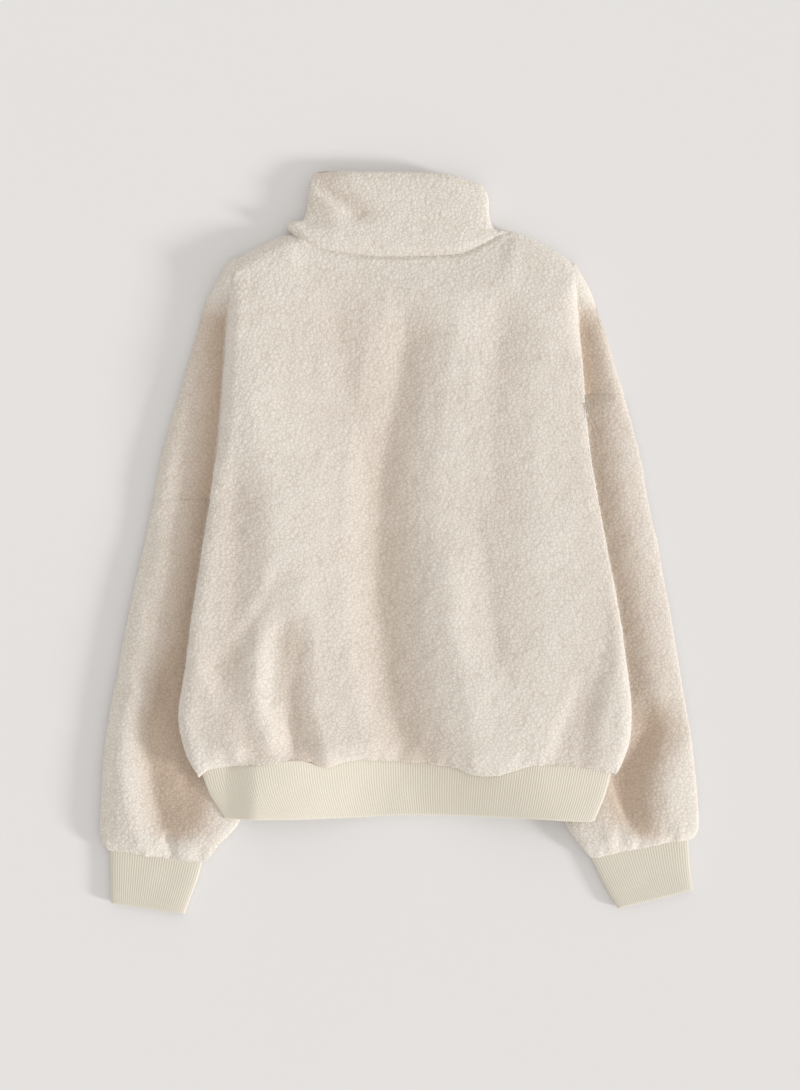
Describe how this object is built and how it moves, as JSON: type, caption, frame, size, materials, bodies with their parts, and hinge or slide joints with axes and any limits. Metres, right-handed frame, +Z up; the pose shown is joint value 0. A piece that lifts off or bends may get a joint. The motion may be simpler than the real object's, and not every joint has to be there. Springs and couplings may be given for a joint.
{
  "type": "sherpa fleece pullover laid flat",
  "caption": "High-collared sherpa fleece pullover laid flat with its back up, sleeves behind the body, rib-knit hem band and cuffs.",
  "frame": {"origin": "on the surface the garment lies on, under the middle of its outline", "axes": "+Z up from that surface, +Y towards the collar, +X to the right of someone looking down at the back"},
  "size_m": [0.63, 0.7814, 0.0377],
  "materials": {
    "sherpa": "off-white sherpa pile, matt, in small curled nubs",
    "rib_knit": "beige 1x1 rib knit, matt"
  },
  "bodies": {
    "root": {"back_panel": "sherpa", "front_panel": "sherpa", "sleeve_left": "sherpa", "sleeve_right": "sherpa", "collar": "sherpa", "hem_rib": "rib_knit", "cuff_left": "rib_knit", "cuff_right": "rib_knit"}
  },
  "joints": []
}
